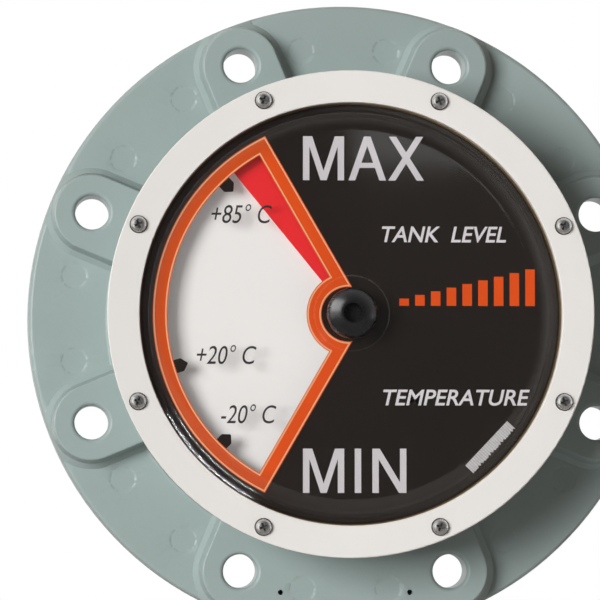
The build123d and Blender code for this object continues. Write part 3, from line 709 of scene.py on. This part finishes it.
def bars_tree():
    """Upright bars in a row on the dial, each taller than the one before it."""
    tree = Geometry("row_of_bars")
    count, pitch, width, depth, low, high, corner, finish = tree.inputs(
        Count="Int", Pitch="Float", Width="Float", Depth="Float", Low="Float", High="Float",
        Corner="Vector", Finish="Material")
    line = tree.add("GeometryNodeMeshLine", {"Count": count})
    index = tree.add("GeometryNodeInputIndex")
    tall = index / (count - 1.0) * (high - low) + low
    step = tree.add("ShaderNodeCombineXYZ", {0: index * pitch, 2: tall * 0.5})
    where = tree.add("ShaderNodeVectorMath", {0: step, 1: corner}, operation="ADD")
    points = tree.add("GeometryNodeSetPosition", {"Geometry": line, "Position": where})
    cube = tree.add("GeometryNodeMeshCube", {"Size": (1.0, 1.0, 1.0)})
    size = tree.add("ShaderNodeCombineXYZ", {0: width, 1: depth, 2: tall})
    bars = tree.add("GeometryNodeInstanceOnPoints", {
        "Points": points, "Instance": cube, "Scale": size})
    return tree.finish(bars, finish)


# ------------------------------------------------------------------ screws

def head_profile(radius, height, shank, shank_length):
    """Pan head: upright rim, a crown that bends over at its edge, and the shank behind it."""
    edge, bend = 0.88 * radius, math.radians(58.0)
    flat = 0.40 * radius
    round_r = (edge - flat) / math.sin(bend)
    crown = [(flat + round_r * math.sin(a), height - round_r * (1.0 - math.cos(a)))
             for a in (bend * i / 8 for i in range(8, -1, -1))]
    return [(0, -shank_length), (shank, -shank_length), (shank, 0), (radius * 0.97, 0),
            (radius, height * 0.06), (radius * 0.985, height * 0.22), *crown, (0, height)]


def cut_away(piece, cutter):
    """Takes a cutter's shape, which may cross itself, out of a piece."""
    boolean = piece.modifiers.new("cut", "BOOLEAN")
    boolean.operation, boolean.solver, boolean.object = "DIFFERENCE", "EXACT", cutter
    boolean.use_self = True
    baked(piece)
    bpy.data.objects.remove(cutter)
    return piece


def cross_cutter(radius, height, width, depth, material):
    """Tapered cross recess: two wedges that narrow towards the tip."""
    work = bmesh.new()
    top, tip = radius * 0.60, radius * 0.16
    for turn in (0.0, math.pi / 2):
        wedge = bmesh.ops.create_cube(work, size=1.0)["verts"]
        for vert in wedge:
            deep = vert.co.y > 0
            reach, half = (tip, width * 0.32) if deep else (top, width * 0.5)
            level = -height + depth if deep else -height - depth * 0.3
            vert.co = (math.copysign(reach, vert.co.x), level, math.copysign(half, vert.co.z))
        bmesh.ops.rotate(work, verts=wedge, cent=(0, 0, 0),
                         matrix=Matrix.Rotation(turn + math.pi / 4, 3, "Y"))
    bmesh.ops.recalc_face_normals(work, faces=work.faces)
    return linked("cross", as_mesh("cross", work), material)


def painted_shade(mesh, radius, height):
    """Marks the rim and the recess, which the steel darkens as painted shade."""
    marks = mesh.attributes.new("painted_shade", "FLOAT", "FACE")
    for face, mark in zip(mesh.polygons, marks.data):
        reach = math.hypot(face.center.x, face.center.z)
        deep = -face.center.y < height * 0.93 and reach < 0.62 * radius
        mark.value = 0.85 if deep else 1.0 if reach > 0.86 * radius else 0.0


def pan_screw(radius, height, shank, shank_length):
    steel = screw_steel()
    mesh = lathe(head_profile(radius, height, shank, shank_length), 40)
    screw = linked("pan_screw", mesh, steel)
    cut_away(screw, cross_cutter(radius, height, sizes().screw_recess, height * 0.62, steel))
    smoothed(screw.data, 40.0)
    painted_shade(screw.data, radius, height)
    return screw


# ------------------------------------------------------------------ plug

def plug_profile():
    """Button with one full curve from its lip to its side, a deep round socket and a stem."""
    top, seat, stem_end = -front_of("cover_plug"), -front_of("clear_cover"), -back_of("cover_plug")
    rim = radius_of("cover_plug")
    lip, socket, stem, deep = 4.9 * MM, 4.3 * MM, 4.9 * MM, 5.0 * MM
    start, bend, shoulder = math.radians(14.0), math.radians(45.0), 10.0 * MM
    crown_r = (shoulder - lip) / (math.sin(bend) - math.sin(start))
    edge_r = (rim - shoulder) / (1.0 - math.sin(bend))
    low = top - crown_r * (math.cos(start) - math.cos(bend))
    edge = [(shoulder + edge_r * (math.sin(a) - math.sin(bend)),
             low - edge_r * (math.cos(bend) - math.cos(a)))
            for a in (math.pi / 2 - (math.pi / 2 - bend) * i / 6 for i in range(6))]
    crown = [(lip + crown_r * (math.sin(a) - math.sin(start)),
              top - crown_r * (math.cos(start) - math.cos(a)))
             for a in (bend - (bend - start) * i / 10 for i in range(11))]
    return [(0, stem_end), (stem, stem_end), (stem, seat), (rim, seat), *edge, *crown,
            (socket, top), (socket, top - deep), (0, top - deep)]


# ------------------------------------------------------------------ window border

def window_outline(grow, steps=60):
    """The window's closed outline, moved out by some distance, as (x, z) points."""
    size = sizes()
    across = Vector((math.sin(size.window_slant), math.cos(size.window_slant)))
    along = Vector((-math.cos(size.window_slant), math.sin(size.window_slant)))

    def arc(middle_x, radius):
        """Points of a round side from its upper corner, over the left, to its lower one."""
        off = size.window_side + grow - middle_x * across.x
        corner = across * off + along * math.sqrt(radius * radius - off * off)
        start = math.atan2(corner.y, corner.x)
        turns = [start + (2 * math.pi - 2 * start) * i / steps for i in range(steps + 1)]
        return [(middle_x + radius * math.cos(a), radius * math.sin(a)) for a in turns]

    hub = arc(-size.window_hub_shift, size.window_hub_radius - grow)
    return arc(0.0, size.window_radius + grow) + hub[::-1]


def border_plate(front, back):
    """Flat frame between the window's outline and the same outline moved out."""
    work = bmesh.new()
    loops = [[work.verts.new((x, y, z)) for x, z in window_outline(grow)]
             for grow, y in ((0.0, front), (sizes().border, front),
                             (sizes().border, back), (0.0, back))]
    for near, far in zip(loops, loops[1:] + loops[:1]):
        for i in range(len(near)):
            j = (i + 1) % len(near)
            work.faces.new([near[i], near[j], far[j], far[i]])
    bmesh.ops.recalc_face_normals(work, faces=work.faces)
    return as_mesh("border", work)


# ------------------------------------------------------------------ lettering

# The two large words: each letter's start and width, in millimetres.
BIG_WORDS = {"word_max": (("M", 0.0, 18.5), ("A", 20.5, 16.9), ("X", 38.4, 16.1)),
             "word_min": (("M", 0.0, 18.5), ("I", 23.2, 2.9), ("N", 31.1, 15.3))}
# Smaller lettering: the piece, its words, and their left, low edge and width, in millimetres.
LABELS = (("label_level", "TANK  LEVEL", 14.2, 32.4, 56.0),
          ("label_temperature", "TEMPERATURE", 14.7, -40.9, 66.0))
FIGURES = (("figure_hot", "+85° C", -62.4, 40.7, 27.2),
           ("figure_mild", "+20° C", -68.9, -22.5, 26.8),
           ("figure_cold", "-20° C", -58.0, -49.0, 24.8))


def flat_words(words, shear, thickness, weight):
    """Words as a thin closed mesh in the XY plane; a weight above 0 thickens the strokes."""
    curve = bpy.data.curves.new(words, "FONT")
    curve.body, curve.shear, curve.resolution_u = words, shear, 6
    curve.extrude, curve.offset = thickness / 2, weight
    holder = bpy.data.objects.new(words, curve)
    bpy.context.scene.collection.objects.link(holder)
    bpy.context.view_layer.update()
    graph = bpy.context.evaluated_depsgraph_get()
    mesh = bpy.data.meshes.new_from_object(holder.evaluated_get(graph))
    bpy.data.objects.remove(holder)
    smoothed(mesh, 20.0)
    return mesh


def capital(letter, wide, tall, stroke):
    """Outlines of a plain capital, as lists of (x, y) corners that do not overlap.

    A slanted stroke's width t is taken along the base line, a little off an upright's."""
    w, h, s, c = wide, tall, stroke, wide / 2
    if letter == "I":
        return [[(0, 0), (s, 0), (s, h), (0, h)]]
    if letter == "N":
        t = 1.152 * s
        notch = h * s / (w - t)
        return [[(0, 0), (s, 0), (s, h - notch), (w - t, 0), (w, 0), (w, h),
                 (w - s, h), (w - s, notch), (t, h), (0, h)]]
    if letter == "M":
        t, top = 0.96 * s, 0.225 * w
        inner = h * (1 - (s - top + t) / (c - t / 2 - top + t))
        vee = h * (1 - (c - top) / (c + t / 2 - top))
        return [[(0, 0), (s, 0), (s, inner), (c - t / 2, 0), (c + t / 2, 0), (w - s, inner),
                 (w - s, 0), (w, 0), (w, h), (w - top, h), (c, vee), (top, h), (0, h)]]
    if letter == "X":
        t, e = 1.12 * s, 0.02 * w
        run = w - t - e
        level = h * (w - t) / (2 * run)
        return [[(0, 0), (t, 0), (c, h * (c - t) / run), (w - t, 0), (w, 0),
                 ((w + t) / 2, level), (w - e, h), (w - e - t, h), (c, h * c / run),
                 (e + t, h), (e, h), ((w - t) / 2, level)]]
    t, low, high = 1.04 * s, 0.285 * h, 0.40 * h
    lean = (c - t / 2) / h
    half = [(0, 0), (t, 0), (t + lean * low, low), (c, low), (c, high), (t + lean * high, high),
            (c, h * (c - t) / (c - t / 2)), (c, h), (c - t / 2, h)]
    return [half, [(w - x, y) for x, y in reversed(half)]]


def big_word(name, middle, seat):
    """A large word of plain capitals laid on a seat; worked in millimetres, then made small."""
    size = sizes()
    tall, stroke = size.big_letters / MM, size.big_stroke / MM
    left, bottom = size.big_left / MM, middle / MM - tall / 2
    work = bmesh.new()
    for letter, start, wide in BIG_WORDS[name]:
        for corners in capital(letter, wide, tall, stroke):
            near, far = ([work.verts.new((left + start + x, level / MM, bottom + y))
                          for x, y in corners] for level in (seat - size.ink, seat))
            work.faces.new(near)
            work.faces.new(far[::-1])
            for i in range(len(near)):
                j = (i + 1) % len(near)
                work.faces.new([near[j], near[i], far[i], far[j]])
    work.normal_update()
    bmesh.ops.triangulate(work, faces=work.faces, ngon_method="EAR_CLIP")
    bmesh.ops.recalc_face_normals(work, faces=work.faces)
    work.transform(Matrix.Scale(MM, 4))
    riding(linked(name, as_mesh(name, work), letter_ink()), "housing")


def printed(rows, tall, seat, material, shear, weight=0.0):
    """Rows of words, each fitted to its place and width on the dial and laid on a seat."""
    thick = sizes().ink
    for name, words, left, bottom, width in rows:
        mesh = flat_words(words, shear, thick, weight)
        places = [vert.co for vert in mesh.vertices]
        low_x, high_x = min(p.x for p in places), max(p.x for p in places)
        low_y, high_y = min(p.y for p in places), max(p.y for p in places)
        across, up = width * MM / (high_x - low_x), tall / (high_y - low_y)
        for vert in mesh.vertices:
            x, y, z = vert.co
            vert.co = (left * MM + (x - low_x) * across, seat - thick / 2 - z,
                       bottom * MM + (y - low_y) * up)
        riding(linked(name, mesh, material), "housing")


# ------------------------------------------------------------------ operators

class GAUGE_OT_stage(bpy.types.Operator):
    """Floor, backdrop light, lamps and camera"""
    bl_idname = "gauge.stage"
    bl_label = "Stage"

    def execute(self, context):
        lit_world()
        lay_floor()
        hang_lamps()
        set_camera()
        context.scene.view_settings.view_transform = "Standard"
        return {"FINISHED"}


class GAUGE_OT_casting(bpy.types.Operator):
    """Painted flange casting"""
    bl_idname = "gauge.casting"
    bl_label = "Casting"

    def execute(self, context):
        dressed("flange_body", casting_paint(), 28.0)
        return {"FINISHED"}


class GAUGE_OT_bezel(bpy.types.Operator):
    """White bezel ring and the two gaskets"""
    bl_idname = "gauge.bezel"
    bl_label = "Bezel"

    def execute(self, context):
        dressed("bezel_ring", bezel_enamel())
        dressed("bezel_gasket", cork_rubber())
        dressed("cover_gasket", cork_rubber())
        return {"FINISHED"}


class GAUGE_OT_screws(bpy.types.Operator):
    """Eight bezel screws with cross recesses, set in a ring"""
    bl_idname = "gauge.screws"
    bl_label = "Bezel screws"

    def execute(self, context):
        seat, tip = front_of("bezel_ring"), front_of("bezel_screws")
        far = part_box("bezel_screws")[1]
        count, head, shank = 8, 4.0 * MM, 2.0 * MM
        first = math.pi / count
        screw = pan_screw(head, seat - tip, shank, far.y - seat)
        ring = ring_tree().run("bezel_screw_ring", screw_steel(), Piece=screw, Count=count,
                               Radius=(far.x - head) / math.cos(first), First=first, Level=seat,
                               Finish=screw_steel())
        bpy.data.objects.remove(screw)
        riding(ring, "housing")
        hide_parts("bezel_screws")
        return {"FINISHED"}


class GAUGE_OT_cover(bpy.types.Operator):
    """Clear moulded cover with its black plug and nut"""
    bl_idname = "gauge.cover"
    bl_label = "Cover"

    def execute(self, context):
        dressed("clear_cover", cover_moulding(), 38.0)
        plug = linked("cover_plug_domed", lathe(plug_profile(), 72), glossy_moulding())
        smoothed(plug.data, 30.0)
        riding(plug, "housing")
        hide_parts("cover_plug")
        dressed("plug_nut", turned_brass())
        return {"FINISHED"}


class GAUGE_OT_dial(bpy.types.Operator):
    """Dial plates, black mask and orange border"""
    bl_idname = "gauge.dial"
    bl_label = "Dial"

    def execute(self, context):
        dressed("dial_mask", dial_print())
        plate = border_plate(front_of("window_border"), back_of("window_border"))
        border = linked("border_print", plate, border_print())
        riding(border, "housing")
        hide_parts("window_border")
        dressed("dial_plate", clear_sheet())
        dressed("dial_spacer", spacer_moulding())
        dressed("back_plate", plate_enamel())
        return {"FINISHED"}


class GAUGE_OT_lettering(bpy.types.Operator):
    """Words, figures, level symbol and the bare foil strip"""
    bl_idname = "gauge.lettering"
    bl_label = "Lettering"

    def execute(self, context):
        print_words()
        print_figures()
        print_level_symbol()
        lay_foil_strip()
        return {"FINISHED"}


class GAUGE_OT_pointer(bpy.types.Operator):
    """Red pointer, its counterweight and the spindle with the follower magnet"""
    bl_idname = "gauge.pointer"
    bl_label = "Pointer"

    def execute(self, context):
        dressed("pointer_vane", pointer_enamel())
        for node in ("pointer_weight", "pointer_hub", "follower_cup"):
            dressed(node, turned_brass())
        for node in ("pointer_spindle", "pointer_circlip"):
            dressed(node, ground_steel())
        dressed("follower_magnet", magnet_ceramic())
        dressed("pointer_bush", bush_bronze())
        dressed("bearing_bridge", turned_alloy())
        dressed("bridge_screws", screw_steel())
        return {"FINISHED"}


class GAUGE_OT_drive(bpy.types.Operator):
    """Bearing housing, drive shaft, magnet and the float arm hub at the rear"""
    bl_idname = "gauge.drive"
    bl_label = "Drive"

    def execute(self, context):
        dressed("bearing_housing", turned_alloy())
        dressed("housing_gasket", black_rubber())
        for node in ("housing_screws", "hub_screws"):
            dressed(node, screw_steel())
        for node in ("inner_bush", "outer_bush"):
            dressed(node, bush_bronze())
        for node in ("drive_shaft", "drive_circlip", "stop_pin"):
            dressed(node, ground_steel())
        dressed("drive_cup", turned_brass())
        dressed("drive_magnet", magnet_ceramic())
        dressed("arm_hub", hub_zinc())
        return {"FINISHED"}


def print_words():
    """MAX and MIN, and two plain labels, on the black mask."""
    size, seat = sizes(), front_of("dial_mask")
    big_word("word_max", size.big_level, seat)
    big_word("word_min", -size.big_level, seat)
    printed(LABELS, size.small_letters, seat, label_ink(), shear=0.22, weight=0.014)


def print_figures():
    """Filling temperatures on the clear plate, beside their marker tabs."""
    printed(FIGURES, sizes().figure_letters, front_of("dial_plate"), figure_ink(), shear=0.24)


def print_level_symbol():
    """Rising bars, a plain sign for a level."""
    size = sizes()
    corner = Vector((24.2 * MM, front_of("dial_mask") - size.ink / 2, 3.9 * MM))
    bars = bars_tree().run("level_symbol", orange_ink(), Count=size.bar_count,
                           Pitch=size.bar_pitch, Width=size.bar_width, Depth=size.ink,
                           Low=size.bar_low, High=size.bar_high, Corner=corner,
                           Finish=orange_ink())
    riding(bars, "housing")


def lay_foil_strip():
    """Bare foil strip near the dial's lower right edge, its outer edge torn in small teeth."""
    size = sizes()
    teeth, tooth = 34, 1.2 * MM
    half_long, half_wide = size.strip_length / 2, size.strip_width / 2
    work = bmesh.new()
    outline = [(-half_long, -half_wide), (half_long, -half_wide)]
    for i in range(teeth + 1):
        bite = tooth * (0.62 + 0.38 * math.sin(i * 2.4)) * (i % 2)
        outline.append((half_long - size.strip_length * i / teeth, half_wide - bite))
    face = work.faces.new([work.verts.new((x, 0, -y)) for x, y in outline])
    grown = bmesh.ops.extrude_face_region(work, geom=[face])["geom"]
    moved = [item for item in grown if isinstance(item, bmesh.types.BMVert)]
    bmesh.ops.translate(work, verts=moved, vec=(0, -size.ink, 0))
    bmesh.ops.recalc_face_normals(work, faces=work.faces)
    turn = Matrix.Rotation(size.strip_turn - math.pi / 2, 4, "Y")
    out = Matrix.Translation((0, front_of("dial_mask"), -size.strip_radius))
    work.transform(turn @ out)
    riding(linked("foil_strip", as_mesh("strip", work), strip_foil()), "housing")


# ------------------------------------------------------------------ stage

WHITE, WARM, COOL = (1.0, 1.0, 1.0), (1.0, 0.78, 0.68), (0.93, 0.97, 1.0)


def lit_world():
    """Soft room light; a white backdrop to the eye, dim towards the reader's side."""
    world = bpy.data.worlds.new("studio")
    world.use_nodes = True
    bpy.context.scene.world = world
    nodes = Nodes(world.node_tree)
    where = nodes.add("ShaderNodeTexCoord", output="Generated")
    depth = nodes.add("ShaderNodeSeparateXYZ", {0: where}, output="Y")

    def graded(start, end, dim, bright):
        """Light that grows with the direction's Y from start to end."""
        return nodes.add("ShaderNodeMapRange", {
            "Value": depth, "From Min": start, "From Max": end, "To Min": dim, "To Max": bright})

    def ray(kind):
        return nodes.add("ShaderNodeLightPath", output=kind)

    strength = graded(-0.75, 0.60, 0.03, 0.35)
    mirrored = graded(-0.9, 0.1, 0.05, 1.0)
    for kind, seen in (("Is Glossy Ray", mirrored), ("Is Transmission Ray", 1.0),
                       ("Is Camera Ray", 1.0)):
        strength = nodes.add("ShaderNodeMix", {0: ray(kind), 2: strength, 3: seen})
    background = world.node_tree.nodes["Background"]
    nodes.feed(background.inputs["Strength"], strength)
    nodes.feed(background.inputs["Color"], nodes.mix(ray("Is Diffuse Ray"), WHITE, WARM))


def lay_floor():
    """Pale floor below the gauge; white to the eye except where a shadow falls."""
    low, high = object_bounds()
    drop, half_size = 0.35 * (high.z - low.z), 1.2
    work = bmesh.new()
    bmesh.ops.create_grid(work, x_segments=1, y_segments=1, size=half_size)
    work.transform(Matrix.Translation((0, 0, low.z - drop)))
    shader = Shader("floor_paint", roughness=0.9)
    grain = shader.noise(6.0, 2.0)
    shader.set("Base Color", shader.mix(grain, (0.44, 0.44, 0.435), (0.46, 0.46, 0.455)))
    seen = shader.add("ShaderNodeLightPath", output="Is Camera Ray")
    white = shader.add("ShaderNodeEmission", {"Color": WHITE, "Strength": 2.3})
    both = shader.add("ShaderNodeMixShader", {
        0: seen * 0.35, 1: Socket(shader, shader.surface.outputs[0]), 2: white})
    shader.feed(shader.tree.nodes["Material Output"].inputs["Surface"], both)
    linked("floor", as_mesh("floor", work), shader.material)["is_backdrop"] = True


def lamp(name, place, size, power, tint=WHITE, diffuse=True, glossy=True, shadow=True, only=()):
    """Area lamp that looks at the middle of the gauge, and may light some pieces only."""
    data = bpy.data.lights.new(name, "AREA")
    data.shape, data.energy, data.color, data.use_shadow = "RECTANGLE", power, tint, shadow
    data.size, data.size_y = size
    holder = bpy.data.objects.new(name, data)
    bpy.context.scene.collection.objects.link(holder)
    holder.location = place
    aim = Vector((0.0, -0.03, 0.0)) - holder.location
    holder.rotation_euler = aim.to_track_quat("-Z", "Y").to_euler()
    holder.visible_diffuse, holder.visible_glossy = diffuse, glossy
    if only:
        group = bpy.data.collections.new(name + "_pieces")
        for piece in only:
            group.objects.link(bpy.data.objects[piece])
        holder.light_linking.receiver_collection = group
    return holder


def hang_lamps():
    """A large key from the left, weak fills, a rear light, and panels that show as sheen only."""
    key, wide = (-2.41, -3.15, 0.56), (1.8, 1.8)
    lamp("key", key, wide, 165.0, glossy=False)
    lamp("fill", (1.2, -2.2, 0.3), (1.6, 1.6), 2.2, WARM, glossy=False)
    lamp("rear", (1.6, 3.0, 1.4), wide, 110.0, glossy=False)
    lamp("sheen", key, wide, 130.0, diffuse=False, only=(
        "flange_body_finished", "bezel_ring_finished", "bezel_screw_ring",
        "bearing_housing_finished", "arm_hub_finished"))
    lamp("bezel_fill", (0.9, -0.85, -0.45), (0.5, 0.5), 10.0, glossy=False,
         only=("bezel_ring_finished",))
    lamp("plate_fill", (-0.6, -3.0, 0.0), (1.2, 1.2), 21.0, glossy=False, shadow=False,
         only=("back_plate_finished", "pointer_vane_finished"))
    for name, level, power in (("plug_panel", 0.62, 34.0), ("plug_glow", -0.45, 7.0)):
        lamp(name, (-1.2, -0.72, level), (1.6, 1.0), power, diffuse=False,
             only=("cover_plug_domed",))
    strip = lamp("low_strip", (-1.08, -0.12, -1.12), (0.12, 0.95), 9.0, COOL, diffuse=False,
                 shadow=False, only=("clear_cover_finished",))
    strip.data.cycles.use_multiple_importance_sampling = False
    lamp("right_strip", (1.3, -0.35, -0.35), (0.12, 0.8), 1.0, (0.8, 0.85, 1.0), diffuse=False)
    lamp("veil", (0.30, -1.95, 0.30), (0.32, 0.12), 0.10, diffuse=False)


def set_camera():
    """The reader stands a little to the left of the axis and below it."""
    data = bpy.data.cameras.new("reader")
    data.sensor_width, data.lens = 36.0, 238.0
    data.clip_start, data.clip_end = 0.05, 20.0
    camera = bpy.data.objects.new("reader", data)
    bpy.context.scene.collection.objects.link(camera)
    camera.location = (-0.1291, -1.8273, -0.0878)
    aim = Vector((-0.01926, 0.0, 0.0093))
    camera.rotation_euler = (aim - camera.location).to_track_quat("-Z", "Y").to_euler()
    bpy.context.scene.camera = camera


# ------------------------------------------------------------------ panel and registration

STEPS = (GAUGE_OT_casting, GAUGE_OT_bezel, GAUGE_OT_screws, GAUGE_OT_cover, GAUGE_OT_dial,
         GAUGE_OT_lettering, GAUGE_OT_pointer, GAUGE_OT_drive, GAUGE_OT_stage)


class GAUGE_PT_panel(bpy.types.Panel):
    """Lists the gauge's pieces, sizes and colours"""
    bl_label = "Level Gauge"
    bl_idname = "GAUGE_PT_panel"
    bl_space_type = "VIEW_3D"
    bl_region_type = "UI"
    bl_category = "Level Gauge"

    def draw(self, context):
        for step in STEPS:
            self.layout.operator(step.bl_idname)
        for group in (context.scene.gauge_sizes, context.scene.gauge_colours):
            for name in group.__annotations__:
                self.layout.prop(group, name)


CLASSES = (GaugeSizes, GaugeColours, *STEPS, GAUGE_PT_panel)


def register():
    for item in CLASSES:
        bpy.utils.register_class(item)
    bpy.types.Scene.gauge_sizes = PointerProperty(type=GaugeSizes)
    bpy.types.Scene.gauge_colours = PointerProperty(type=GaugeColours)


def unregister():
    del bpy.types.Scene.gauge_sizes
    del bpy.types.Scene.gauge_colours
    for item in reversed(CLASSES):
        bpy.utils.unregister_class(item)


def main():
    register()
    for step in STEPS:
        group, name = step.bl_idname.split(".")
        getattr(getattr(bpy.ops, group), name)()


if __name__ == "__main__":
    main()
